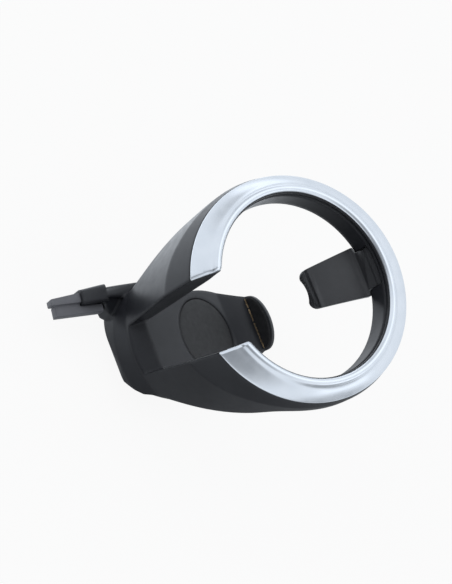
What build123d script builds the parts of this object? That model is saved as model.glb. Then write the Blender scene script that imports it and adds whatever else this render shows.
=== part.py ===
from build123d import *
import os
from math import atan2, cos, degrees, radians, sin

# Plug-in car cup holder, in millimetres. The cup opening's axis is Z, the holder rests on its foot
# at Z = 0, and X runs from the plug at the back to the flap at the front.

# Cup ring and its trim
bore_radius = 40.0
edge_height = 74.0        # outer edge of the trim over the foot
ring_depth = 7.5          # ring wall below that edge
trim_reach = 12.8         # trim past the bore, along X
trim_side = 9.7           # trim past the bore, along Y
trim_rise = 4.3           # from the trim's outer edge up to the foot of its bead
trim_wall = 1.8
trim_seat_gap = 0.1       # between the trim's slope and the moulding
bead_radius = 2.1
bead_setback = 0.3        # the bead stands back from the bore by this much
bead_sink = 0.45          # the bead's centre below the flat strip at its foot
bead_land = 0.25          # that strip's width, between the bead and the slope
bead_sides = 12           # flats round the bead

# Moulded wall round the ring and down to the base
rim_front = 0.5           # wall past the trim's edge at the front
rim_side = 0.9            # the same at the sides
rim_back = 4.8            # the same at the back
end_share = 1.03          # end radius of the wall's oval, as a share of an ellipse's
flare = 0.3               # outward run of the facet below the trim, for each millimetre down
wall_lean = 0.19          # outward run of the inner face below the ring, for each millimetre down
skin = 2.4                # moulded wall thickness
channel_roof = 3.2        # solid height kept over the hollow of the ring

# Edges of the arms, as shares of the half-width (or of the ring's reach) and of the ring's height
plug_arm_knee = (0.83, 0.82)
plug_arm_foot = 27.0      # across, where that edge meets the neck's top
plain_arm_knee = (0.82, 0.84)
plain_arm_waist = (0.57, 0.53)
plain_arm_foot = 0.24
brace_knee = (0.55, 0.8)

# Gap in the ring and the slot below it
gap_half = 15.5
slot_low_half = 10.6
slot_shift = 2.2          # the slot's foot lies this far towards the plug's side
slot_foot = 19.0
slot_corner = 6.0

# Base tongue
sill_outer = 21.1
sill_inner = 26.0
sill_width = 8.6
floor_low = 6.0
floor_level_x = 3.0
crease_x = 17.0
tongue_start = -5.0       # across, where its plain side starts at the heel
wall_foot_y = 5.0         # across, where the wall's lower edge reaches the foot
tongue_heel_half = 16.0
tongue_mid_half = 22.0
tongue_mid_x = -13.0
tongue_end_half = 13.3
foot_start = 2.0          # the same three at its foot
foot_heel_half = 12.0
foot_mid_half = 25.6
flank_height = 12.0       # its sides run from the foot to their upper outline at this height
heel_spread = 2.9         # the back wall leans out by this much below the sill
heel_radius = 13.5        # rounding under it, down to the foot
lip_height = 7.4          # along the lip's own slope
lip_wall = 2.4
lip_angle = 63.0          # lip over the floor, degrees

# Pads on the base
pad_radius = 17.2
pad_x = -13.6
pad_y = 1.0
pad_thick = 1.8
pad_gap = 0.3
felt_thick = 1.2
felt_margin = 0.9
tape_width = 1.0
tape_thick = 0.5
tape_margin = 0.7

# Bottom cover
cover_thick = 2.4
cover_front = -12.0
cover_back_half = 13.5
cover_front_half = 18.5
cover_corner = 4.0
cover_inset = 2.0         # cover's back edge from the heel's rounding
cover_gap = 0.2
cover_screw_inset = 5.0   # screws from the cover's back and front edges
boss_radius = 3.4

# Screws
screw_radius = 1.3
screw_sides = 6
screw_length = 9.0        # with the head
head_radius = 2.6
head_depth = 1.1
head_recess = 0.2         # cover's screw heads above the foot
screw_gap = 0.05
seat_gap = 0.15           # round a screw's head

# Neck and plug
neck_proud = 1.6          # neck behind the wall
neck_side = 34.0
neck_top = 18.5
neck_foot = 5.0
neck_depth = 26.0
neck_block = 21.0         # length of the neck's outer side, from its back
neck_taper = 3.0          # that side comes in by this much
neck_start = 17.0         # across, where the neck's back face leaves the wall
neck_full = 27.0          # across, where it is full
neck_inset = 0.6          # its start lies this far inside the wall
neck_round = 5.0          # its outer top edge
neck_ledge = [(-60.0, 29.2), (-46.0, 26.0)]  # line where the neck's top starts to slope down to the back
neck_slope = 35.0         # degrees
plug_turn = 8.0           # the plug leans outward by this many degrees
plug_y = 28.8             # line of the plug at the neck
sleeve_length = 10.3
sleeve_root = 2.0         # the sleeve runs this far into the neck
sleeve_low = -1.6         # sleeve across, from the plug's line
sleeve_high = 5.0
sleeve_flare = 1.2        # the sleeve is wider at the neck by this much
sleeve_height = 9.0
sleeve_round = 2.0
blade_length = 14.0       # past the sleeve
blade_low = -0.4          # blade across, from the plug's line
blade_high = 3.8
blade_tip = 2.4           # its outer side at the tip
blade_height = 5.0
blade_drop = 1.5          # blade's top below the sleeve's top
blade_root = 16.0         # inside the neck
blade_gap = 0.1
blade_round = 0.7
rail_low = -5.2           # rail across, from the plug's line
rail_height = 4.5
rail_drop = 3.0           # rail's top below the sleeve's top
rail_short = 2.0          # the rail ends before the blade's tip
rail_gap = 0.2            # between the rail and the sleeve
plug_screws = [4.0, 11.0]  # along the blade, from the neck's back face
plug_screw_foot = 7.5

# Flap and its hinge
pin_setback = 3.4         # hinge axis behind the bore
pin_drop = 2.6            # hinge axis below the trim's outer edge
pin_radius = 1.25
pin_fit = 0.03            # pin in the ring
pin_play = 0.06           # flap on the pin
pin_half = 12.6
ear_half = 13.0
ear_reach = 8.0           # solid ears and notch start this far inside the bore
knuckle_radius = 3.5
knuckle_half = 8.2
notch_gap = 0.6
notch_roof = 0.35         # clear height over the knuckle
notch_back = 1.4          # clear space behind the knuckle
flap_clear = 0.7          # flap's root inside the bore
flap_length = 26.8
flap_root_half = 12.0
flap_tip_half = 8.6
flap_corner = 3.4
flap_hollow = 1.0         # the free edge curves in by this much
flap_drop = 4.8           # flap's root below the hinge axis
flap_fall = 7.1           # free end below the root
flap_bow = 0.9            # crown of the flap between root and free end
flap_wall = 2.4
flap_lap = 1.0            # knuckle's web runs on into the plate

# Spring on the hinge pin
wire_radius = 0.37
wire_sides = 4
coil_radius = 1.95
coil_half = 1.6
coil_turns = 2.25
coil_play = 0.3           # clear space round the coil
coil_room = 3.6           # half the width of the spring's room in the flap
leg_length = 4.6

ring_foot = edge_height - ring_depth
trim_front = bore_radius + trim_reach
trim_half = bore_radius + trim_side
wall_back = -trim_front - rim_back
wall_side = trim_half + rim_side
heel_back = wall_back - heel_spread
sill_x = wall_back + sill_width
neck_back = wall_back - neck_proud
neck_front = neck_back + neck_depth
neck_corner = neck_back + neck_block
cover_back = heel_back + heel_radius + cover_inset
cover_screws = [(cover_back + cover_screw_inset, 0), (cover_front - cover_screw_inset, 0)]
pin_x = bore_radius + pin_setback
ear_front = bore_radius - ear_reach
flap_root_x = bore_radius - flap_clear
flap_tip_x = flap_root_x - flap_length
bead_centre = bore_radius + bead_setback + bead_radius
bead_foot = bead_centre + bead_radius + bead_land
trim_top = edge_height + trim_rise
ring_top = trim_top - trim_wall - trim_seat_gap
pin_z = edge_height - pin_drop
above = edge_height + 4 * trim_rise
floor_slope = atan2(sill_inner - floor_low, floor_level_x - sill_x)
lip_run = cos(radians(lip_angle))
lip_rise = sin(radians(lip_angle))


def egg(front, back, side):
    """Outline of half an ellipse to the front and half an ellipse to the back."""
    ahead = EllipticalCenterArc((0, 0), front, side, start_angle=-90, arc_size=180)
    behind = EllipticalCenterArc((0, 0), back, side, start_angle=90, arc_size=180)
    return make_face(Curve() + [ahead, behind])


def half_oval(reach, side):
    """Half an oval to the front, in three arcs that run into each other."""
    end = end_share * side**2 / reach
    flank = ((reach - end) ** 2 + side**2 - end**2) / (2 * (side - end))
    join = degrees(atan2(flank - side, reach - end))
    nose = CenterArc((reach - end, 0), end, -join, 2 * join)
    upper = CenterArc((0, side - flank), flank, join, 90 - join)
    lower = CenterArc((0, flank - side), flank, -90, 90 - join)
    return Curve() + [lower, nose, upper]


def oval(front, back, side):
    """Outline of half an oval to the front and half an oval to the back."""
    return make_face(half_oval(front, side) + half_oval(back, side).mirror(Plane.YZ))


def block(low, high):
    """Box between two corners."""
    size = [b - a for a, b in zip(low, high)]
    return Pos(*low) * Box(*size, align=(Align.MIN, Align.MIN, Align.MIN))


def rod(radius, start, end):
    """Round bar between two points."""
    axis = Vector(*end) - Vector(*start)
    return extrude(Plane(origin=start, z_dir=axis.normalized()) * Circle(radius), axis.length)


def outer_form(inset):
    """Solid inside the moulded wall's outer face: a heel, an upright egg and a flaring facet above."""
    front = trim_front + rim_front - inset
    back = -wall_back - inset
    side = wall_side - inset
    wide = oval(front, back + heel_spread, side)
    slim = Pos(0, 0, sill_outer) * oval(front, back, side)
    heel = extrude(wide, heel_radius) + loft([Pos(0, 0, heel_radius) * wide, slim], ruled=True)
    upright = heel + extrude(slim, edge_height - sill_outer)
    spread = flare * edge_height - inset
    low = egg(trim_front + spread, trim_front + spread, trim_half + spread)
    top = egg(trim_front - inset, trim_front - inset, trim_half - inset)
    facet = loft([low, Pos(0, 0, edge_height) * top], ruled=True)
    return upright & facet


def trim_band(lower):
    """Solid under the trim's sloping face, from its outer edge in to the foot of the bead."""
    edge = Pos(0, 0, edge_height - lower) * egg(trim_front, trim_front, trim_half)
    foot = Pos(0, 0, trim_top - lower) * egg(bead_foot, bead_foot, bead_foot)
    return loft([edge, foot], ruled=True)


def cup_space(margin):
    """Space inside the ring and the arms, as a solid to cut."""
    low = bore_radius + wall_lean * ring_foot + margin
    bore = bore_radius + margin
    outline = Polyline((0, 0), (low, 0), (bore, ring_foot), (bore, above), (0, above), close=True)
    return revolve(Plane.XZ * make_face(outline), Axis.Z)


def slot_cut(margin):
    """U-shaped slot through the back wall, open at the top."""
    top = gap_half + margin
    low = slot_low_half + margin
    foot = slot_foot - margin
    outline = FilletPolyline(
        (top, above), (top, edge_height), (slot_shift + low, foot), (slot_shift - low, foot),
        (-top, edge_height), (-top, above),
        radius=slot_corner, close=True,
    )
    return extrude(Plane.YZ * make_face(outline), -2 * trim_front)


def arms_form():
    """The arms from behind, a tulip that narrows to the base, and from the side, a swept brace."""
    side = wall_side + rim_side

    def place(share, way, across):
        return (way * share[0] * across, share[1] * ring_foot)

    plug_side = Spline(
        (side, ring_foot), place(plug_arm_knee, 1, side), (plug_arm_foot, neck_top),
        tangents=[(-1, -0.05), (-0.15, -1)],
    )
    plain_side = Spline(
        (-side, ring_foot), place(plain_arm_knee, -1, side), place(plain_arm_waist, -1, side),
        (-tongue_heel_half, plain_arm_foot * ring_foot),
        tangents=[(1, -0.05), (0.5, -1)],
    )
    foot = Polyline(plain_side @ 1, (wall_foot_y, 0), (neck_side - neck_round, 0), plug_side @ 1)
    top = Polyline(plug_side @ 0, (side, above), (-side, above), plain_side @ 0)
    rear = make_face(Curve() + [plug_side, foot, plain_side, top])
    sweep_line = Spline(
        (0, ring_foot), place(brace_knee, -1, trim_front), (sill_x, 0),
        tangents=[(-1, 0), (-0.12, -1)],
    )
    back = Polyline(sweep_line @ 1, (2 * wall_back, 0), (2 * wall_back, above), (0, above), sweep_line @ 0)
    brace = make_face(Curve() + [sweep_line, back])
    return extrude(Plane.YZ * rear, 2 * wall_back) & extrude(Plane.XZ * brace, 2 * wall_side, both=True)


def tongue_outline(start, heel, middle):
    """Plan of the tongue: the start of its plain side, its half-widths at the heel and under the cup."""
    plain = [(heel_back, start), (sill_x, -heel), (tongue_mid_x, -middle), (crease_x, -tongue_end_half)]
    plug = [(heel_back, tongue_heel_half), (tongue_mid_x, middle), (crease_x, tongue_end_half)]
    left = Spline(*plain, tangents=[(0.6, -1), (1, 0.35)])
    right = Spline(*plug, tangents=[(1, 0.15), (1, -0.35)])
    end_x = crease_x + lip_wall
    nose = Polyline(left @ 1, (end_x, (left @ 1).Y), (end_x, (right @ 1).Y), right @ 1)
    return make_face(Curve() + [left, right, Line(left @ 0, right @ 0), nose])


def tongue_section(drop):
    """Side view of the base: sill, sloping floor and level end."""
    toe = lip_wall * lip_rise
    outline = Polyline(
        (heel_back, 0), (heel_back, sill_outer - drop), (sill_x, sill_inner - drop),
        (floor_level_x, floor_low - drop), (crease_x, floor_low - drop),
        (crease_x + toe, floor_low - drop - lip_wall * lip_run), (crease_x - toe, 0), close=True,
    )
    return extrude(Plane.XZ * make_face(outline), 2 * trim_half, both=True)


def heel_form():
    """Space above the foot, with the rounding under the back edge, as a solid to keep."""
    heel = RadiusArc((heel_back + heel_radius, 0), (heel_back, heel_radius), heel_radius)
    front = 2 * trim_front
    rest = Polyline(heel @ 1, (heel_back, above), (front, above), (front, 0), heel @ 0)
    return extrude(Plane.XZ * make_face(Curve() + [heel, rest]), 2 * trim_half, both=True)


def lip_plane():
    """Inner face of the lip, with its X across the tongue and its Y up the lip."""
    return Plane(origin=(crease_x, 0, floor_low), x_dir=(0, -1, 0), z_dir=(-lip_rise, 0, lip_run))


def lip_form(margin):
    """Half-oval outline of the lip."""
    arc = EllipticalCenterArc(
        (0, margin), tongue_end_half - margin, lip_height - 2 * margin, start_angle=0, arc_size=180,
    )
    return make_face(Curve() + [arc, Line(arc @ 1, arc @ 0)])


def floor_plane():
    """Sloping floor at the middle of the round pad."""
    drop = (pad_x - sill_x) * (sill_inner - floor_low) / (floor_level_x - sill_x)
    return Plane(
        origin=(pad_x, pad_y, sill_inner - drop), x_dir=(cos(floor_slope), 0, -sin(floor_slope)),
        z_dir=(sin(floor_slope), 0, cos(floor_slope)),
    )


def pad_disc(radius, height):
    """Round disc let into the sloping floor, from the bottom of its recess."""
    return floor_plane() * Pos(0, 0, -pad_thick) * extrude(Circle(radius), height)


def plug_frame():
    """Place of the plug: on the neck's back face, level with its top and turned outward."""
    return Pos(neck_back, plug_y, neck_top) * Rot(0, 0, -plug_turn)


def plug_bar(plan, drop, height):
    """Bar of the plug from its plan, given along the plug and across it, and its height."""
    face = make_face(Polyline(*plan, close=True))
    return plug_frame() * Pos(0, 0, -drop - height) * extrude(face, height)


def blade_bar(gap):
    """The blade from its root in the neck to its tip, resting on the bottom of its socket."""
    low = blade_low - gap
    high = blade_high + gap
    tip = -sleeve_length - blade_length
    root = blade_root + gap
    plan = [(root, low), (root, high), (-sleeve_length, high), (tip, blade_tip + gap), (tip, low)]
    return plug_bar(plan, blade_drop - gap, blade_height + gap)


def plug_sleeve():
    """Sleeve round the blade, narrower at its open end."""
    high = sleeve_high + sleeve_flare
    plan = [
        (sleeve_root, sleeve_low), (sleeve_root, high), (0, high), (-sleeve_length, sleeve_high),
        (-sleeve_length, sleeve_low),
    ]
    sleeve = plug_bar(plan, 0, sleeve_height)
    outer = sleeve.edges().filter_by(Axis.Z, reverse=True).group_by(Axis.Y)[-1]
    return fillet(outer.sort_by(SortBy.LENGTH)[-2:], sleeve_round)


def plug_screw_places():
    """Plan positions of the screws that hold the blade."""
    middle = (blade_low + blade_high) / 2
    spots = [(plug_frame() * Pos(along, middle, 0)).position for along in plug_screws]
    return [(spot.X, spot.Y) for spot in spots]


def screw(place, foot):
    """Screw with a six-sided head and shank, pointing up from its head."""
    head = extrude(RegularPolygon(head_radius, screw_sides), head_depth)
    return Pos(*place, foot) * (head + extrude(RegularPolygon(screw_radius, screw_sides), screw_length))


def screw_seat(place, foot, mouth):
    """Hole for a screw's shank, with a wider hole for its head down to the mouth."""
    seat = foot + head_depth
    head = rod(head_radius + seat_gap, (*place, mouth), (*place, seat))
    return head + rod(screw_radius + screw_gap, (*place, mouth), (*place, foot + screw_length + screw_gap))


def base_room(margin, height):
    """Hollow under the base, or with a margin the cover in it, as an upright solid."""
    back = cover_back + margin
    front = cover_front - margin
    back_half = cover_back_half - margin
    front_half = cover_front_half - margin
    plan = FilletPolyline(
        (back, -back_half), (front, -front_half), (front, front_half), (back, back_half),
        radius=cover_corner, close=True,
    )
    return extrude(make_face(plan), height)


def base_pocket():
    """Hollow under the base, with bosses left standing for the cover's screws."""
    room = base_room(0, edge_height) & tongue_section(pad_thick + skin)
    for place in cover_screws:
        room = room - rod(boss_radius, (*place, cover_thick), (*place, edge_height))
    return room


def hinge_notch():
    """Space for the flap's knuckle in the front of the ring, open to the cup and downwards."""
    half = knuckle_half + notch_gap
    back = pin_x + knuckle_radius + notch_back
    roof = pin_z + knuckle_radius + notch_roof
    return block((ear_front, -half, 0), (back, half, roof))


def hinge_line(radius, half):
    """Round bar along the hinge axis."""
    return rod(radius, (pin_x, -half, pin_z), (pin_x, half, pin_z))


def ring_channel():
    """Hollow of the moulded ring and arms, open underneath."""
    low = (wall_back, -wall_side, sill_inner + skin)
    high = (trim_front, wall_side, edge_height - channel_roof)
    hollow = (outer_form(skin) - cup_space(skin) - slot_cut(skin)) & block(low, high)
    return hollow - block((ear_front, -ear_half, 0), (trim_front, ear_half, above))


def neck_form():
    """Block beside the base that carries the plug; its back face runs out into the wall."""
    wall_x = wall_back * (1 - (neck_start / wall_side) ** 2) ** 0.5 + neck_inset
    back = Spline((wall_x, neck_start), (neck_back, neck_full), tangents=[(0, 1), (0, 1)])
    rest = Polyline(
        back @ 1, (neck_back, neck_side), (neck_corner, neck_side - neck_taper),
        (neck_front, tongue_heel_half), (neck_front, 0), (neck_corner, 0), back @ 0,
    )
    plan = extrude(make_face(Curve() + [back, rest]), neck_top)
    rear = FilletPolyline(
        (-neck_side, neck_foot), (neck_side, neck_foot), (neck_side, neck_top), (-neck_side, neck_top),
        radius=neck_round, close=True,
    )
    neck = plan & extrude(Plane.YZ * make_face(rear), 2 * neck_back)
    start, end = [Vector(x, y, neck_top) for x, y in neck_ledge]
    ledge = Plane(origin=start, x_dir=end - start, z_dir=(0, 0, 1)).rotated((neck_slope, 0, 0))
    room = ledge * block((-neck_depth, -neck_side, 0), (2 * neck_depth, 0, neck_side))
    return neck - room


def holder_body():
    """One moulding: ring, arms, base tongue with its lip, neck and plug sleeve."""
    wall = outer_form(0) + trim_band(trim_wall + trim_seat_gap) - cup_space(0)
    ring_band = block((-trim_front * 2, -trim_front, ring_foot), (trim_front * 2, trim_front, above))
    wall = wall & (arms_form() + ring_band)
    wall = wall - slot_cut(0) - ring_channel() - hinge_notch() - hinge_line(pin_radius + pin_fit, ear_half)
    outline = Pos(0, 0, flank_height) * tongue_outline(tongue_start, tongue_heel_half, tongue_mid_half)
    skirt = loft([tongue_outline(foot_start, foot_heel_half, foot_mid_half), outline], ruled=True)
    base = (skirt + extrude(outline, edge_height)) & tongue_section(0) & outer_form(0)
    lip = extrude(lip_plane() * lip_form(0), -lip_wall)
    body = ((wall + base + lip + neck_form()) & heel_form()) + plug_sleeve()
    body = body - base_pocket() - pad_disc(pad_radius + pad_gap, 2 * pad_thick) - blade_bar(blade_gap)
    for place in plug_screw_places():
        body = body - screw_seat(place, plug_screw_foot, 0)
    for place in cover_screws:
        body = body - screw_seat(place, head_recess, 0)
    return body


def ring_trim():
    """Plated C-shaped trim: a sloping band with a rolled bead along its inner edge."""
    band = trim_band(0) - trim_band(trim_wall)
    band = band - rod(bead_centre, (0, 0, 0), (0, 0, above))
    ring = RegularPolygon(bead_radius, bead_sides)
    bead = revolve(Plane.XZ * Pos(bead_centre, trim_top - bead_sink) * ring, Axis.Z)
    bead = bead & block((-trim_front, -trim_front, ring_top), (trim_front, trim_front, above))
    trim = band + bead
    return trim - block((-trim_front * 2, -gap_half, 0), (0, gap_half, above))


def flap_plate():
    """Bowed plate of the flap, narrowing to a free edge that curves in."""
    root = pin_z - flap_drop
    tip = root - flap_fall
    middle = ((flap_root_x + flap_tip_x) / 2, (root + tip) / 2 + flap_bow)
    top = ThreePointArc((flap_root_x, root), middle, (flap_tip_x, tip))
    section = make_face(Curve() + [
        top, Line(top @ 1, (top @ 1) - (0, flap_wall)), Pos(0, -flap_wall) * top,
        Line((top @ 0) - (0, flap_wall), top @ 0),
    ])
    plan = FilletPolyline(
        (pin_x, -flap_root_half), (pin_x, flap_root_half),
        (flap_tip_x, flap_tip_half), (flap_tip_x, -flap_tip_half),
        radius=flap_corner, close=True,
    )
    hollow_half = flap_tip_half - flap_corner
    hollow_radius = (hollow_half**2 + flap_hollow**2) / (2 * flap_hollow)
    hollow = Pos(flap_tip_x + flap_hollow - hollow_radius, 0) * Circle(hollow_radius)
    plate = extrude(Plane.XZ * section, flap_root_half, both=True)
    return plate & extrude((make_face(plan) & Circle(flap_root_x)) - hollow, above)


def cup_flap():
    """Sprung flap: its plate, and a knuckle round the pin with room for the spring."""
    root = pin_z - flap_drop
    web_x = flap_root_x - flap_lap
    corners = [
        (pin_x + knuckle_radius * cos(radians(turn)), pin_z + knuckle_radius * sin(radians(turn)))
        for turn in (135, 260)
    ]
    web = Polyline(
        corners[0], (web_x, root), (web_x, root - flap_wall), corners[1], (pin_x, pin_z), close=True,
    )
    knuckle = extrude(Plane.XZ * make_face(web), knuckle_half, both=True)
    knuckle = knuckle + hinge_line(knuckle_radius, knuckle_half)
    room = coil_radius + wire_radius + coil_play
    back = pin_x + 2 * knuckle_radius
    reach = 2 * knuckle_radius
    pocket = hinge_line(room, coil_room)
    pocket = pocket + block((pin_x - room, -coil_room, pin_z - reach), (back, coil_room, pin_z))
    pocket = pocket + block((pin_x, -coil_room, pin_z), (back, coil_room, pin_z + reach))
    return flap_plate() + knuckle - pocket - hinge_line(pin_radius + pin_play, 2 * knuckle_half)


def flap_spring():
    """Torsion spring on the pin: one leg down behind the flap, one back along the roof of the notch."""
    frame = Plane(origin=(pin_x, -coil_half, pin_z), x_dir=(-1, 0, 0), z_dir=(0, 1, 0))
    length = 2 * coil_half
    path = Helix(length / coil_turns, length, coil_radius)
    wire = Plane(origin=path @ 0, z_dir=path % 0) * RegularPolygon(wire_radius, wire_sides)
    spring = sweep(wire, path=path, is_frenet=True)
    for end in spring.faces().filter_by(GeomType.PLANE):
        spring = spring + extrude(end, leg_length)
    return frame * spring


def floor_pad():
    """Round grip pad, flush in the sloping floor."""
    return pad_disc(pad_radius, pad_thick)


def lip_pad():
    """Soft pad on the lip's inner face."""
    return extrude(lip_plane() * lip_form(felt_margin), felt_thick)


def pad_tape():
    """Strip of tape along the foot of the lip."""
    half = tongue_end_half - tape_margin
    low = (crease_x - tape_width, -half, floor_low)
    return block(low, (crease_x, half, floor_low + tape_thick))


def base_cover():
    """Plate that closes the hollow under the base."""
    plate = base_room(cover_gap, cover_thick)
    for place in cover_screws:
        plate = plate - screw_seat(place, head_recess, 0)
    return plate


def plug_blade():
    """Plug insert: the blade with its root in the neck, and a rail stepped down beside it."""
    tip = -sleeve_length - blade_length + rail_short
    end = -sleeve_length - rail_gap
    side = sleeve_low - rail_gap
    plan = [(0, rail_low), (0, side), (end, side), (end, blade_low), (tip, blade_low), (tip, rail_low)]
    bar = blade_bar(0)
    bar = fillet(bar.edges().sort_by(Axis.X)[:4], blade_round)
    blade = bar + plug_bar(plan, rail_drop, rail_height)
    for place in plug_screw_places():
        blade = blade - screw_seat(place, plug_screw_foot, 0)
    return blade


parts = {
    "holder_body": holder_body(),
    "ring_trim": ring_trim(),
    "cup_flap": cup_flap(),
    "hinge_pin": hinge_line(pin_radius, pin_half),
    "flap_spring": flap_spring(),
    "floor_pad": floor_pad(),
    "lip_pad": lip_pad(),
    "pad_tape": pad_tape(),
    "base_cover": base_cover(),
    "cover_screws": Compound([screw(place, head_recess) for place in cover_screws]),
    "plug_blade": plug_blade(),
    "plug_screws": Compound([screw(place, plug_screw_foot) for place in plug_screw_places()]),
}

os.makedirs("parts", exist_ok=True)
for name, shape in parts.items():
    export_step(shape, f"parts/{name}.step")
    print(name, len(shape.solids()), round(shape.volume), shape.is_valid)
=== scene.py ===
# %% [markdown]
# # A plug-in cup holder for a car
# The holder is a dark moulding with a silver C-shaped ring on top, a sprung flap that steadies the cup, and a
# spoon-shaped base with a soft pad. Its solids come from CAD and are loaded as a fixed frame. Here they get
# their finishes, and the pieces whose soft edges matter most are modelled again on top of them.

# %% Load the frame
import math
import bpy
from mathutils import Matrix, Vector


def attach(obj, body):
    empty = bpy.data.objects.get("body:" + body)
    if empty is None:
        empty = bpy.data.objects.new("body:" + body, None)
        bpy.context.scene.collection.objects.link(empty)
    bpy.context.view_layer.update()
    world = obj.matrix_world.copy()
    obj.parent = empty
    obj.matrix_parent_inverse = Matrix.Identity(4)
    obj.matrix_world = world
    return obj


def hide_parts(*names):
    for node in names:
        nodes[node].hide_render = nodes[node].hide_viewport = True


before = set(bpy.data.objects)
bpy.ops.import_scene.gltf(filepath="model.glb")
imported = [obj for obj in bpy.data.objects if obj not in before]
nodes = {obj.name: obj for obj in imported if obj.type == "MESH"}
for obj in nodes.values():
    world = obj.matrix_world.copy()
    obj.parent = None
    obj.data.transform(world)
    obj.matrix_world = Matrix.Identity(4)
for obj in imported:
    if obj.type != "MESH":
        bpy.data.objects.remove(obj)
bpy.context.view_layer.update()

print("nodes:", ", ".join(sorted(nodes)))

# %% [markdown]
# ## The camera
# The photo looks down into the ring from behind the plug, with the camera turned a little about its own axis.
# A camera can be aimed with a Track To constraint, but that keeps the horizon level. So the camera's own three
# directions are written down as the columns of a matrix, as they were fitted to the ring and its gap.

# %% Camera
view_right = Vector((0.8049, -0.3628, 0.4695))
view_up = Vector((0.2386, 0.9223, 0.3037))
view_back = view_right.cross(view_up).normalized()
view_up = view_back.cross(view_right).normalized()
view_place = Vector((-0.3667, -0.07342, 0.5782))
image_height = 584
focal_pixels = 1500
sensor_size = 36

camera_data = bpy.data.cameras.new("photo_camera")
camera = bpy.data.objects.new("photo_camera", camera_data)
bpy.context.scene.collection.objects.link(camera)
camera_data.sensor_width = sensor_size
camera_data.lens = focal_pixels * sensor_size / image_height
camera_data.clip_start = 0.01
turn = Matrix((view_right.normalized(), view_up, view_back)).transposed().to_4x4()
camera.matrix_world = Matrix.Translation(view_place) @ turn
bpy.context.scene.camera = camera
print("camera lens in mm:", round(camera_data.lens, 1))

# %% [markdown]
# ## Light and floor
# The photo was taken on a white sweep under big soft lamps, so the light has no hard edges and the background
# is white. A lamp strong enough to burn the floor out would burn the silver ring out too. The floor is lit
# plainly instead, and a Light Path node shows it nearly white to the camera, with a part of its own shading
# left in so that the holder still throws its soft shadow. Reflections see painted light and painted shade in
# the floor's glow: a painted bright pool on the plug's side, where a lamp stands, and a painted shadow beside
# the other arm, which is what gives the two arms their different faces.
# They also see the room bright all round, with brighter lamps overhead and low on both sides, and dim patches
# near the camera, behind the plug and beside the other arm. Those draw the soft stripes on the silver ring.

# %% Floor and world
bpy.context.scene.view_settings.view_transform = "Standard"
floor_size = 6.0
shadow_share = 0.08
mirrored_share = 0.85
cool_white = (0.88, 0.935, 1.0, 1)
pure_white = (1, 1, 1, 1)
paper_white = (0.86, 0.86, 0.86, 1)
# Spots in the floor's glow seen in reflections: a painted shadow beside the other arm and a painted bright pool
# on the plug's side.
painted_floor_glow = [
    ((-0.05, -0.10, 0), (0.11, 0.28), (0.17, 1.0)),
    ((-0.03, 0.17, 0), (0.07, 2.0), (0.22, 1.0)),
]


def node(tree, kind, **inputs):
    """Adds a shader node and sets its inputs by name."""
    made = tree.nodes.new(kind)
    for name, value in inputs.items():
        made.inputs[name.replace("_", " ")].default_value = value
    return made


def times_plus(tree, value, factor, rest):
    """Socket for a value times a factor plus a rest, of which the last two are numbers or sockets."""
    made = tree.nodes.new("ShaderNodeMath")
    made.operation = "MULTIPLY_ADD"
    tree.links.new(value, made.inputs[0])
    for socket, given in zip(made.inputs[1:], (factor, rest)):
        if isinstance(given, float):
            socket.default_value = given
        else:
            tree.links.new(given, socket)
    return made.outputs["Value"]


def by_ray(tree, direct, mirrored):
    """Socket with one value for rays from the camera and another for mirrored and refracted rays."""
    path = node(tree, "ShaderNodeLightPath")
    total = times_plus(tree, path.outputs["Is Camera Ray"], direct, 0.0)
    for ray in ("Is Glossy Ray", "Is Transmission Ray"):
        total = times_plus(tree, path.outputs[ray], mirrored, total)
    return total


def ramp(tree, value, start, end):
    """Socket that runs smoothly between two pairs of input and output."""
    made = node(tree, "ShaderNodeMapRange")
    made.interpolation_type = "SMOOTHSTEP"
    made.inputs["From Min"].default_value = start[0]
    made.inputs["From Max"].default_value = end[0]
    made.inputs["To Min"].default_value = start[1]
    made.inputs["To Max"].default_value = end[1]
    tree.links.new(value, made.inputs["Value"])
    return made.outputs["Result"]


def measured(tree, kind, vector, point):
    """Socket with the distance or the dot product between a vector and a fixed point or direction."""
    made = node(tree, "ShaderNodeVectorMath")
    made.operation = kind
    made.inputs[1].default_value = point
    tree.links.new(vector, made.inputs[0])
    return made.outputs["Value"]


bpy.ops.object.select_all(action="DESELECT")
bpy.ops.mesh.primitive_plane_add(size=floor_size, location=(0, 0, 0))
floor = bpy.context.active_object
floor.name = "pale_floor"
white_sweep = bpy.data.materials.new("white_sweep")
white_sweep.use_nodes = True
tree = white_sweep.node_tree
tree.nodes.clear()
paper = node(tree, "ShaderNodeBsdfDiffuse", Color=paper_white)
glow = node(tree, "ShaderNodeEmission")
both = node(tree, "ShaderNodeMixShader")
surface = node(tree, "ShaderNodeOutputMaterial")
tint = node(tree, "ShaderNodeMixRGB", Color1=cool_white, Color2=pure_white)
tree.links.new(node(tree, "ShaderNodeLightPath").outputs["Is Camera Ray"], tint.inputs["Fac"])
tree.links.new(tint.outputs["Color"], glow.inputs["Color"])
place = node(tree, "ShaderNodeTexCoord").outputs["Object"]
# Painted light and painted shade in the floor's glow, from the spots above, seen only in reflections.
painted_glow_spots = [
    ramp(tree, measured(tree, "DISTANCE", place, spot), near, far) for spot, near, far in painted_floor_glow
]
tree.links.new(by_ray(tree, 1.0, times_plus(tree, painted_glow_spots[0], painted_glow_spots[1], 0.0)), glow.inputs["Strength"])
tree.links.new(by_ray(tree, 1 - shadow_share, mirrored_share), both.inputs[0])
tree.links.new(paper.outputs["BSDF"], both.inputs[1])
tree.links.new(glow.outputs["Emission"], both.inputs[2])
tree.links.new(both.outputs["Shader"], surface.inputs["Surface"])
floor.data.materials.append(white_sweep)
print("floor of", floor_size, "m, bright on the plug's side in reflections")

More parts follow.
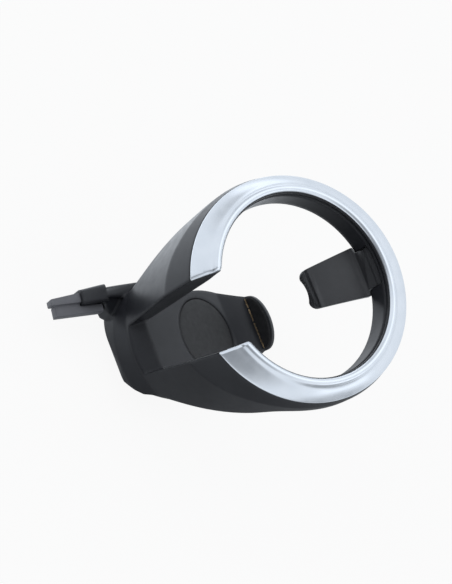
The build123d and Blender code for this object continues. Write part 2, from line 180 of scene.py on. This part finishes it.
# %% World
room_level = 0.42
mirror_level = 1.02
room_colour = (0.885, 0.93, 0.985, 1)
patches = [
    (Vector((-0.36, -0.17, 0.92)), (0.78, 1.0), (0.985, 0.36)),
    (Vector((0.35, -0.93, 0.0)), (0.84, 1.0), (0.96, 0.40)),
    (Vector((-0.95, 0.10, 0.25)), (0.78, 1.0), (0.93, 0.22)),
    (Vector((0.33, 0.75, 0.56)), (0.925, 1.0), (0.985, 0.72)),
    (Vector((0.54, 0.13, 0.83)), (0.93, 1.0), (0.985, 1.35)),
    (Vector((0.53, -0.77, 0.36)), (0.93, 1.0), (0.985, 1.5)),
    (Vector((0.54, 0.83, 0.14)), (0.955, 1.0), (0.99, 1.4)),
]

world = bpy.data.worlds.new("studio")
bpy.context.scene.world = world
world.use_nodes = True
tree = world.node_tree
studio = tree.nodes["Background"]
studio.inputs["Color"].default_value = room_colour
direction = node(tree, "ShaderNodeTexCoord").outputs["Generated"]
room = times_plus(tree, by_ray(tree, 1.0, 1.0), mirror_level - room_level, room_level)
for way, edge, core in patches:
    toward = measured(tree, "DOT_PRODUCT", direction, way.normalized())
    room = times_plus(tree, room, ramp(tree, toward, edge, core), 0.0)
tree.links.new(room, studio.inputs["Strength"])
print("room level", room_level, "and in reflections", mirror_level)

# %% [markdown]
# The two lamps only light the holder. They are left out of mirror images, where the room already stands for
# them, because in Cycles a lamp adds to the room behind it and would burn out on the silver ring.

# %% Lamps


def soft_lamp(name, place, aim, width, watts, colour):
    """Square soft lamp at a place, turned to a point."""
    data = bpy.data.lights.new(name, "AREA")
    data.shape = "SQUARE"
    data.size = width
    data.energy = watts
    data.color = colour
    lamp = bpy.data.objects.new(name, data)
    bpy.context.scene.collection.objects.link(lamp)
    lamp.location = place
    lamp.rotation_euler = (Vector(aim) - Vector(place)).to_track_quat("-Z", "Y").to_euler()
    lamp.visible_glossy = False
    return lamp


middle = (0, 0, 0.04)
lamps = [
    soft_lamp("window_box", (-0.6, 1.4, 1.15), middle, width=2.2, watts=12.5, colour=(0.97, 0.985, 1.0)),
    soft_lamp("top_box", (0.55, -0.1, 1.6), middle, width=1.6, watts=7.0, colour=(1.0, 1.0, 1.0)),
]
print("lamps:", [(lamp.name, lamp.data.energy) for lamp in lamps])

# %% [markdown]
# ## Finishes
# Each finish is built from noise at the size that the real surface shows: blotches of a few millimetres for
# colour, and grain of tenths of a millimetre for the bump. The noise reads Object coordinates, which are metres
# here, so a scale of 2500 gives grain of 0.4 mm. One helper makes the parts that all finishes share, so that
# each finish below only lists what sets it apart.

# %% Shared parts of a finish
noise_low = 0.3
noise_high = 0.7
edge_samples = 6


def new_finish(name):
    """New finish with its shader, ready for links."""
    finish = bpy.data.materials.new(name)
    finish.use_nodes = True
    tree = finish.node_tree
    shader = tree.nodes["Principled BSDF"]
    place = node(tree, "ShaderNodeTexCoord").outputs["Object"]
    return finish, tree, shader, place


def noise(tree, place, size, detail=3.0, stretch=None):
    """Noise whose blotches are about this many metres across; stretch draws it out along an axis."""
    if stretch:
        draw = node(tree, "ShaderNodeMapping")
        draw.inputs["Scale"].default_value = stretch
        tree.links.new(place, draw.inputs["Vector"])
        place = draw.outputs["Vector"]
    made = node(tree, "ShaderNodeTexNoise", Scale=1 / size, Detail=detail, Roughness=0.55)
    tree.links.new(place, made.inputs["Vector"])
    return made.outputs["Fac"]


def between(tree, factor, low, high):
    """Number that runs from low to high with a noise."""
    made = node(tree, "ShaderNodeMapRange")
    made.inputs["From Min"].default_value = noise_low
    made.inputs["From Max"].default_value = noise_high
    made.inputs["To Min"].default_value = low
    made.inputs["To Max"].default_value = high
    tree.links.new(factor, made.inputs["Value"])
    return made.outputs["Result"]


def colours(tree, factor, dark, light):
    """Colour that runs from dark to light with a noise."""
    made = node(tree, "ShaderNodeValToRGB")
    made.color_ramp.elements[0].position = noise_low
    made.color_ramp.elements[0].color = (*dark, 1)
    made.color_ramp.elements[1].position = noise_high
    made.color_ramp.elements[1].color = (*light, 1)
    tree.links.new(factor, made.inputs["Fac"])
    return made.outputs["Color"]


def soft_edges(tree, radius):
    """Normal that rounds sharp edges off by this radius in the shading."""
    made = node(tree, "ShaderNodeBevel", Radius=radius)
    made.samples = edge_samples
    return made.outputs["Normal"]


def bumps(tree, shader, factor, depth, normal=None):
    """Adds bumps of this depth, in metres, over a normal."""
    made = node(tree, "ShaderNodeBump", Strength=1.0, Distance=depth)
    tree.links.new(factor, made.inputs["Height"])
    if normal:
        tree.links.new(normal, made.inputs["Normal"])
    tree.links.new(made.outputs["Normal"], shader.inputs["Normal"])


print("helpers ready")

# %% [markdown]
# ### Moulded plastics
# The body is moulded in charcoal plastic with a fine spark-eroded grain, which scatters the light and gives a
# satin look. The flap is a smoother moulding, and the plug blade is a paler, glass-filled plastic with tiny
# flecks. All three share one recipe with other numbers.

# %% Moulded plastics
plastic_blotch = 0.012
plastic_gloss = 0.004
plastic_ior = 1.46


def moulded_plastic(name, dark, light, rough, grain_size, grain_depth, edge):
    """Satin moulded plastic: blotchy colour, uneven gloss, eroded grain and rounded edges."""
    finish, tree, shader, place = new_finish(name)
    blotch = noise(tree, place, plastic_blotch)
    tree.links.new(colours(tree, blotch, dark, light), shader.inputs["Base Color"])
    tree.links.new(between(tree, noise(tree, place, plastic_gloss), *rough), shader.inputs["Roughness"])
    bumps(tree, shader, noise(tree, place, grain_size, 2.0), grain_depth, soft_edges(tree, edge))
    shader.inputs["IOR"].default_value = plastic_ior
    return finish


charcoal_shell = moulded_plastic(
    "charcoal_shell", dark=(0.019, 0.020, 0.0245), light=(0.026, 0.0275, 0.0325), rough=(0.30, 0.38),
    grain_size=0.0004, grain_depth=0.000010, edge=0.0022,
)
flap_satin = moulded_plastic(
    "flap_satin", dark=(0.043, 0.044, 0.048), light=(0.054, 0.055, 0.060), rough=(0.34, 0.42),
    grain_size=0.0003, grain_depth=0.000008, edge=0.0006,
)
blade_nylon = moulded_plastic(
    "blade_nylon", dark=(0.145, 0.147, 0.163), light=(0.190, 0.193, 0.212), rough=(0.42, 0.55),
    grain_size=0.0006, grain_depth=0.00002, edge=0.0004,
)
print("plastics:", charcoal_shell.name, flap_satin.name, blade_nylon.name)

# %% [markdown]
# ### Metals
# The ring is plastic with a satin plated coat: a mirror blurred by a very fine roughness, with a slight orange
# peel from the plastic under it. The pin and spring are bright drawn wire, so their noise is drawn out along
# the pin, and the screws are blackened steel.

# %% Metals
metal_blotch = 0.006
metal_gloss = 0.003
thin_edge = 0.0003


def plated(name, dark, light, rough, peel_size, peel_depth, stretch=None):
    """Metal with uneven gloss and a faint ripple."""
    finish, tree, shader, place = new_finish(name)
    shader.inputs["Metallic"].default_value = 1.0
    tone = noise(tree, place, metal_blotch, stretch=stretch)
    gloss = noise(tree, place, metal_gloss, stretch=stretch)
    tree.links.new(colours(tree, tone, dark, light), shader.inputs["Base Color"])
    tree.links.new(between(tree, gloss, *rough), shader.inputs["Roughness"])
    bumps(tree, shader, noise(tree, place, peel_size, 1.0, stretch), peel_depth, soft_edges(tree, thin_edge))
    return finish


satin_silver = plated(
    "satin_silver", dark=(0.74, 0.78, 0.83), light=(0.80, 0.835, 0.88), rough=(0.20, 0.27),
    peel_size=0.0015, peel_depth=0.000002,
)
drawn_steel = plated(
    "drawn_steel", dark=(0.50, 0.50, 0.51), light=(0.60, 0.60, 0.60), rough=(0.22, 0.36),
    peel_size=0.0004, peel_depth=0.000004, stretch=(1, 0.05, 1),
)
black_screw = plated(
    "black_screw", dark=(0.06, 0.06, 0.065), light=(0.11, 0.11, 0.115), rough=(0.35, 0.5),
    peel_size=0.0005, peel_depth=0.000006,
)
print("metals:", satin_silver.name, drawn_steel.name, black_screw.name)

# %% [markdown]
# ### Pads and the painted highlight strip
# The round pad is soft rubber with a fine stipple, and the lip's pad is flocked with short dark fibres. Along
# its foot runs a thin tan strip whose colour is a painted highlight, standing for the bright line in the crease
# there.
# Flock looks velvety because its fibres catch light at their tips, and a little sheen on the shader gives that.

# %% Pads and the painted highlight strip
pad_blotch = 0.003
pad_gloss = 0.002
sheen_roughness = 0.4


def soft_pad(name, dark, light, rough, stipple_size, stipple_depth, sheen):
    """Soft pad: matt, stippled, with a velvety sheen where it is flocked."""
    finish, tree, shader, place = new_finish(name)
    tree.links.new(colours(tree, noise(tree, place, pad_blotch), dark, light), shader.inputs["Base Color"])
    tree.links.new(between(tree, noise(tree, place, pad_gloss), *rough), shader.inputs["Roughness"])
    bumps(tree, shader, noise(tree, place, stipple_size, 2.0), stipple_depth, soft_edges(tree, thin_edge))
    shader.inputs["Sheen Weight"].default_value = sheen
    shader.inputs["Sheen Roughness"].default_value = sheen_roughness
    return finish


grip_rubber = soft_pad(
    "grip_rubber", dark=(0.020, 0.0205, 0.022), light=(0.027, 0.0275, 0.029), rough=(0.50, 0.62),
    stipple_size=0.0005, stipple_depth=0.00003, sheen=0.0,
)
dark_flock = soft_pad(
    "dark_flock", dark=(0.006, 0.006, 0.007), light=(0.014, 0.014, 0.015), rough=(0.8, 0.95),
    stipple_size=0.00025, stipple_depth=0.00008, sheen=0.12,
)
# Painted highlight: the tan strip along the lip's foot is coloured as the bright line in the crease there.
painted_glint = soft_pad(
    "painted_glint", dark=(0.16, 0.115, 0.065), light=(0.85, 0.64, 0.38), rough=(0.4, 0.55),
    stipple_size=0.0008, stipple_depth=0.00003, sheen=0.0,
)
print("pads:", grip_rubber.name, dark_flock.name, painted_glint.name)

# %% Finishes of the CAD nodes
finish_of = {
    "holder_body": charcoal_shell, "base_cover": charcoal_shell, "cup_flap": flap_satin,
    "ring_trim": satin_silver, "hinge_pin": drawn_steel, "flap_spring": drawn_steel,
    # pad_tape gets the painted highlight colour of the strip along the lip's foot.
    "floor_pad": grip_rubber, "lip_pad": dark_flock, "pad_tape": painted_glint,
    "cover_screws": black_screw, "plug_screws": black_screw, "plug_blade": blade_nylon,
}
for name, finish in finish_of.items():
    nodes[name].data.materials.clear()
    nodes[name].data.materials.append(finish)
print(len(finish_of), "nodes have their finish")

# %% [markdown]
# ## The silver ring
# On the real holder a plated C-shaped trim sits on the ring: a band that slopes outward and a rolled bead round
# the cup opening. It could be a curve with a bevel profile, but the band runs from a circle inside to an oval
# outside, so its section changes on the way round. A circle is extruded ring by ring instead, and each new
# ring is lifted and scaled along X and Y to the next point of the section.

# %% Section of the ring
mm = 0.001
bead_middle = (42.4, 77.85)
bead_size = 2.1
band_foot = (45.75, 45.45, 77.81)
band_edge = (52.62, 49.52, 74.62)
band_crown = 0.22
band_steps = 8
bead_angles = range(222, 40, -12)
valley_points = [(44.42, 44.42, 78.62), (44.78, 44.74, 78.33), (45.20, 45.08, 78.08)]
rim_points = [(52.74, 49.64, 74.50), (52.79, 49.69, 74.32), (52.79, 49.69, 74.12), (52.70, 49.60, 74.02)]
seat_points = [(49.60, 47.75, 74.05), (44.80, 44.80, 76.48), (41.20, 41.20, 76.45)]


def bead_point(angle, proud=0.0):
    """Point of the bead at an angle, or this far outside it, the same along X and along Y."""
    radius = bead_middle[0] + (bead_size + proud) * math.cos(math.radians(angle))
    return (radius, radius, bead_middle[1] + (bead_size + proud) * math.sin(math.radians(angle)))


def band_point(share):
    """Point of the band between its foot at the bead and its outer edge, a little crowned."""
    point = [a + share * (b - a) for a, b in zip(band_foot, band_edge)]
    point[2] += band_crown * 4 * share * (1 - share)
    return tuple(point)


section = [bead_point(angle) for angle in bead_angles] + valley_points
section += [band_point(step / band_steps) for step in range(band_steps + 1)]
section += rim_points + seat_points
print(len(section), "points round the section")

# %% Model the ring
ring_steps = 256
gap_half = 15.5 * mm


def select_faces(piece, test):
    """Selects the faces of a piece, in edit mode, whose centre and normal pass a test."""
    bpy.ops.mesh.select_mode(type="FACE")
    bpy.ops.mesh.select_all(action="DESELECT")
    bpy.ops.object.mode_set(mode="OBJECT")
    for face in piece.data.polygons:
        face.select = test(face.center, face.normal)
    bpy.ops.object.mode_set(mode="EDIT")


def select_open_edges():
    """Selects the open edges of the mesh in edit mode."""
    bpy.ops.mesh.select_mode(type="EDGE")
    bpy.ops.mesh.select_all(action="DESELECT")
    bpy.ops.mesh.select_non_manifold(
        use_wire=False, use_multi_face=False, use_non_contiguous=False, use_verts=False,
    )


def swept_ring(name, points):
    """Closed ring, left in edit mode: a circle extruded round by round to the points of a section."""
    bpy.ops.object.select_all(action="DESELECT")
    start = points[0]
    bpy.ops.mesh.primitive_circle_add(vertices=ring_steps, radius=start[0] * mm, location=(0, 0, start[2] * mm))
    ring = bpy.context.active_object
    ring.name = name
    bpy.ops.object.transform_apply(location=True)
    bpy.ops.object.mode_set(mode="EDIT")
    bpy.ops.mesh.select_mode(type="EDGE")
    bpy.ops.mesh.select_all(action="SELECT")
    for before, after in zip(points, points[1:]):
        lift = (after[2] - before[2]) * mm
        bpy.ops.mesh.extrude_edges_move(TRANSFORM_OT_translate={"value": (0, 0, lift)})
        growth = (after[0] / before[0], after[1] / before[1], 1)
        bpy.ops.transform.resize(value=growth, center_override=(0, 0, 0))
    select_open_edges()
    bpy.ops.mesh.bridge_edge_loops()
    return ring


silver_ring = swept_ring("silver_ring", section)
print("closed ring:", len(section), "rounds of", ring_steps, "faces before the gap is cut")

# %% [markdown]
# At the gap the ring's ends slope down over the last millimetre, which gives each a bright line along its edge.
# A bevel would be held back by the tiny edges next to the cut. So the ring is cut a little short, each end is
# filled, and the end face is extruded on along the ring in small steps. With each step its upper points are
# let down a little further.

# %% Cut the gap and slope the ends
sharp_cut = 1e-7
end_length = 1.3 * mm
end_drift = 0.385
end_shape = [(0.0, 0.0), (0.12, 0.04), (0.3, 0.19), (0.6, 0.45), (0.85, 0.68), (0.96, 0.85), (1.0, 1.05)]
seat_radius = 44.8 * mm
seat_height = 76.48 * mm
seat_slope = 0.5
seat_margin = 0.1 * mm
ring_smooth = math.radians(35)


def select_points(piece, test):
    """Selects the points of a piece, in edit mode, whose place passes a test."""
    bpy.ops.mesh.select_mode(type="VERT")
    bpy.ops.mesh.select_all(action="DESELECT")
    bpy.ops.object.mode_set(mode="OBJECT")
    for point in piece.data.vertices:
        point.select = test(point.co)
    bpy.ops.object.mode_set(mode="EDIT")


def over_seat(place):
    """Tells a point of the ring's visible top from one of its seat on the body."""
    reach = math.hypot(place.x, place.y)
    return place.z > seat_height - seat_slope * max(0.0, reach - seat_radius) + seat_margin


def cut_gap(piece, half):
    """Cuts a ring open behind, this far to each side of its middle, and fills the two ends."""
    for side in (-1, 1):
        bpy.ops.mesh.select_all(action="SELECT")
        bpy.ops.mesh.bisect(plane_co=(0, side * half, 0), plane_no=(0, 1, 0), threshold=sharp_cut)
    select_faces(piece, lambda centre, normal: centre.x < 0 and abs(centre.y) < half)
    bpy.ops.mesh.delete(type="FACE")
    select_open_edges()
    bpy.ops.mesh.fill_holes(sides=0)


def turn_outward():
    """Turns all faces outward and leaves edit mode."""
    bpy.ops.mesh.select_all(action="SELECT")
    bpy.ops.mesh.normals_make_consistent(inside=False)
    bpy.ops.object.mode_set(mode="OBJECT")


def at_end(place, line):
    """Tells whether a place lies on the plane of an end of the ring."""
    return place.x < 0 and abs(place.y - line) < sharp_cut


cut_gap(silver_ring, gap_half + end_length)
for side in (-1, 1):
    for (before, height), (after, lower) in zip(end_shape, end_shape[1:]):
        line = side * (gap_half + (1 - before) * end_length)
        select_faces(silver_ring, lambda centre, normal: at_end(centre, line))
        step = (after - before) * end_length
        onward = (-end_drift * step, -side * step, 0)
        bpy.ops.mesh.extrude_region_move(TRANSFORM_OT_translate={"value": onward})
        line -= side * step
        select_points(silver_ring, lambda place: at_end(place, line) and over_seat(place))
        bpy.ops.transform.translate(value=(0, 0, (height - lower) * mm))
turn_outward()
bpy.ops.object.shade_smooth_by_angle(angle=ring_smooth)
silver_ring.data.materials.append(satin_silver)
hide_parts("ring_trim")
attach(silver_ring, "holder")
print("silver ring:", len(silver_ring.data.polygons), "faces")

# %% [markdown]
# ## The lip of the bore
# In the photo the dark wall of the bore runs up over the inner roll of the bead, so the silver starts at the
# bead's shoulder. That is a thin lip of the body's moulding. It is modelled with the ring's own steps: a circle
# is extruded round by round along the lip's section, closed, and cut at the gap.

# %% Lip of the bore
lip_angles = [216, 204, 192, 180, 168, 156, 144]
lip_proud = 0.03
lip_depth = 0.5
lip_gap = gap_half + 1.7 * mm
lip_smooth = math.radians(40)

lip_section = [bead_point(angle, lip_proud) for angle in lip_angles]
lip_section += [bead_point(angle, -lip_depth) for angle in (lip_angles[-1], lip_angles[0])]
bore_lip = swept_ring("bore_lip", lip_section)
cut_gap(bore_lip, lip_gap)
turn_outward()
bpy.ops.object.shade_smooth_by_angle(angle=lip_smooth)
bore_lip.data.materials.append(charcoal_shell)
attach(bore_lip, "holder")
print("lip of the bore:", len(bore_lip.data.polygons), "faces")

# %% [markdown]
# ## The round pad and the lip's pad
# Both are cut from soft sheet: rubber let into the floor, and flocked foam glued to the lip. A cylinder with a
# bevel would give them a hard machined rim. Each is drawn as a filled circle instead, scaled to its oval, and
# extruded. Then its top face is extruded a few times more, a little smaller each time, so that the rim eases
# over and the middle stands slightly proud. Insets would do the same on the round pad, but the lip's pad is
# half an oval with two corners, where they would cross each other. There the circle is cut in two first.

# %% Cut and round a pad
pad_steps = 96
pad_easing = [(0.994, 0.16), (0.986, 0.12), (0.97, 0.09), (0.93, 0.05), (0.8, 0.03)]
half_oval_middle = 0.42
pad_smooth = math.radians(50)


def cut_pad(name, half_width, height, thick, half, turned):
    """Pad on its own XY plane, with its top toward Z, put in place by a matrix."""
    bpy.ops.object.select_all(action="DESELECT")
    bpy.ops.mesh.primitive_circle_add(vertices=pad_steps, radius=1, fill_type="NGON")
    pad = bpy.context.active_object
    pad.name = name
    bpy.ops.object.mode_set(mode="EDIT")
    bpy.ops.mesh.select_mode(type="FACE")
    bpy.ops.mesh.select_all(action="SELECT")
    bpy.ops.transform.resize(value=(half_width * mm, height * mm, 1))
    if half:
        bpy.ops.mesh.bisect(plane_co=(0, 0, 0), plane_no=(0, 1, 0), clear_inner=True)
        bpy.ops.mesh.select_all(action="SELECT")
    middle_height = half_oval_middle * height * mm if half else 0
    straight = thick - sum(rise for size, rise in pad_easing)
    bpy.ops.mesh.extrude_region_move(TRANSFORM_OT_translate={"value": (0, 0, straight * mm)})
    for size, rise in pad_easing:
        bpy.ops.mesh.extrude_region_move(TRANSFORM_OT_translate={"value": (0, 0, rise * mm)})
        bpy.ops.transform.resize(value=(size, size, 1), center_override=(0, middle_height, 0))
    turn_outward()
    pad.matrix_world = turned
    bpy.ops.object.transform_apply(location=True, rotation=True)
    bpy.ops.object.shade_smooth_by_angle(angle=pad_smooth)
    return pad


print("pads rise by", round(sum(rise for size, rise in pad_easing), 2), "mm over their rim")

# %% Round pad and lip's pad
floor_turn = math.radians(21.04)
disc_middle = Vector((-13.6, 1.0, 12.385)) * mm
disc_radius = 17.2
disc_thick = 1.8
lip_foot = Vector((17.0, 0, 6.0)) * mm
lip_lean = math.radians(27.0)
felt_half = 12.4
felt_height = 5.6
felt_thick = 1.2
felt_lift = 0.9

lying = Matrix.Rotation(floor_turn, 4, "Y")
sunk = Matrix.Translation(disc_middle) @ lying @ Matrix.Translation((0, 0, -disc_thick * mm))
grip_disc = cut_pad("grip_disc", disc_radius, disc_radius, disc_thick, False, sunk)
up_lip = Vector((math.sin(lip_lean), 0, math.cos(lip_lean)))
off_lip = Vector((-math.cos(lip_lean), 0, math.sin(lip_lean)))
standing = Matrix((Vector((0, -1, 0)), up_lip, off_lip)).transposed().to_4x4()
glued = Matrix.Translation(lip_foot + felt_lift * mm * up_lip) @ standing
lip_felt = cut_pad("lip_felt", felt_half, felt_height, felt_thick, True, glued)
for pad, finish, node_name, slot in (
    (grip_disc, grip_rubber, "floor_pad", "pad_rubber"), (lip_felt, dark_flock, "lip_pad", "lip_felt"),
):
    pad.data.materials.append(finish)
    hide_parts(node_name)
    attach(pad, "holder")
    print(pad.name, len(pad.data.polygons), "faces")

# %% [markdown]
# ## The painted highlight strip
# Along the foot of the lip's pad a bright line runs in the crease, broken in places. It is drawn as a thin
# strip whose tan colour is a painted highlight. A grid one cell wide is made as long as the lip, its long edges
# are shifted at random with a fixed seed, the cells where the line breaks are deleted, and a Solidify modifier
# gives it its thickness.

# %% Broken strip of painted highlight
glint_cells = 120
glint_length = 24.6 * mm
glint_width = 0.75 * mm
glint_middle = Vector((16.45, 0, 6.12)) * mm
glint_fray = 0.16 * mm
glint_thick = 0.1 * mm
break_waves = [(1.9, 0.0), (0.83, 1.0)]
break_level = 1.6

bpy.ops.object.select_all(action="DESELECT")
bpy.ops.mesh.primitive_grid_add(x_subdivisions=1, y_subdivisions=glint_cells, size=1, location=glint_middle)
broken_glint_strip = bpy.context.active_object
broken_glint_strip.name = "broken_glint_strip"
broken_glint_strip.scale = (glint_width, glint_length, 1)
bpy.ops.object.transform_apply(location=True, scale=True)
bpy.ops.object.mode_set(mode="EDIT")
bpy.ops.mesh.select_all(action="SELECT")
bpy.ops.transform.vertex_random(offset=glint_fray, uniform=1.0, normal=0.0, seed=7)


def glint_breaks(centre, normal):
    """Tells where the painted highlight strip breaks, from two waves along it."""
    along = centre.y / mm
    return sum(math.sin(pace * along + start) for pace, start in break_waves) > break_level


select_faces(broken_glint_strip, glint_breaks)
bpy.ops.mesh.delete(type="FACE")
bpy.ops.object.mode_set(mode="OBJECT")
bpy.ops.object.modifier_add(type="SOLIDIFY")
broken_glint_strip.modifiers[-1].thickness = glint_thick
bpy.ops.object.modifier_apply(modifier=broken_glint_strip.modifiers[-1].name)
# The strip gets the tan colour of the painted highlight.
broken_glint_strip.data.materials.append(painted_glint)
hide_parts("pad_tape")
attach(broken_glint_strip, "holder")
print("tape:", len(broken_glint_strip.data.polygons), "faces")

# %% [markdown]
# ## The flap and the plug blade
# Both start from their solids, which have crisp edges. The solid's mesh is copied and its loose triangles are
# merged, so that it can be edited. The blade's flat facets are joined and its edges rounded. The flap's
# shoulders are extruded outward under the ring and its knuckle is widened, which narrows the gaps round it.

# %% Copies to edit
merge_reach = 0.002 * mm
flat_angle = math.radians(1)
sharp_angle = math.radians(40)
blade_rounding = 0.55 * mm
copy_smooth = math.radians(35)


def merged_copy(node_name, name):
    """Copy of a node's mesh with its loose triangles merged, left open in edit mode."""
    source = nodes[node_name]
    piece = bpy.data.objects.new(name, source.data.copy())
    bpy.context.scene.collection.objects.link(piece)
    piece.matrix_world = source.matrix_world
    bpy.ops.object.select_all(action="DESELECT")
    bpy.context.view_layer.objects.active = piece
    piece.select_set(True)
    bpy.ops.object.transform_apply(location=True, rotation=True, scale=True)
    bpy.ops.object.mode_set(mode="EDIT")
    bpy.ops.mesh.select_mode(type="EDGE")
    bpy.ops.mesh.select_all(action="SELECT")
    bpy.ops.mesh.remove_doubles(threshold=merge_reach)
    return piece


plug_tongue = merged_copy("plug_blade", "plug_tongue")
bpy.ops.mesh.dissolve_limited(angle_limit=flat_angle)
bpy.ops.mesh.select_all(action="DESELECT")
bpy.ops.mesh.edges_select_sharp(sharpness=sharp_angle)
bpy.ops.mesh.bevel(offset=blade_rounding, segments=3, affect="EDGES", clamp_overlap=True)
bpy.ops.object.mode_set(mode="OBJECT")
bpy.ops.object.shade_smooth_by_angle(angle=copy_smooth)
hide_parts("plug_blade")
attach(plug_tongue, "holder")
print("blade:", len(plug_tongue.data.polygons), "faces")

# %% Flap with its shoulders
shoulder_radius = 39.3 * mm
shoulder_reach = 1.6 * mm
shoulder_fall = 1.0 * mm
knuckle_half = 8.2 * mm
knuckle_root = 38.3 * mm
knuckle_growth = 0.45 * mm
near_shoulder = 0.15 * mm
near_side = 0.02 * mm
toward_ring = 0.7

cup_rest = merged_copy("cup_flap", "cup_rest")


def on_shoulder(centre, normal):
    """Tells the end faces of the flap's shoulders, beside the knuckle and facing the ring."""
    reach = math.hypot(centre.x, centre.y)
    beside = abs(reach - shoulder_radius) < near_shoulder and abs(centre.y) > knuckle_half
    return beside and normal.x > toward_ring


select_faces(cup_rest, on_shoulder)
print("shoulder faces:", sum(face.select for face in cup_rest.data.polygons))
outward = (shoulder_reach, 0, -shoulder_fall)
bpy.ops.mesh.extrude_region_move(TRANSFORM_OT_translate={"value": outward})
for side in (-1, 1):
    line = side * knuckle_half
    select_points(cup_rest, lambda place: abs(place.y - line) < near_side and place.x > knuckle_root)
    bpy.ops.transform.translate(value=(0, side * knuckle_growth, 0))
bpy.ops.object.mode_set(mode="OBJECT")
bpy.ops.object.shade_smooth_by_angle(angle=copy_smooth)
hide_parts("cup_flap")
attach(cup_rest, "flap")
print("flap:", len(cup_rest.data.polygons), "faces")
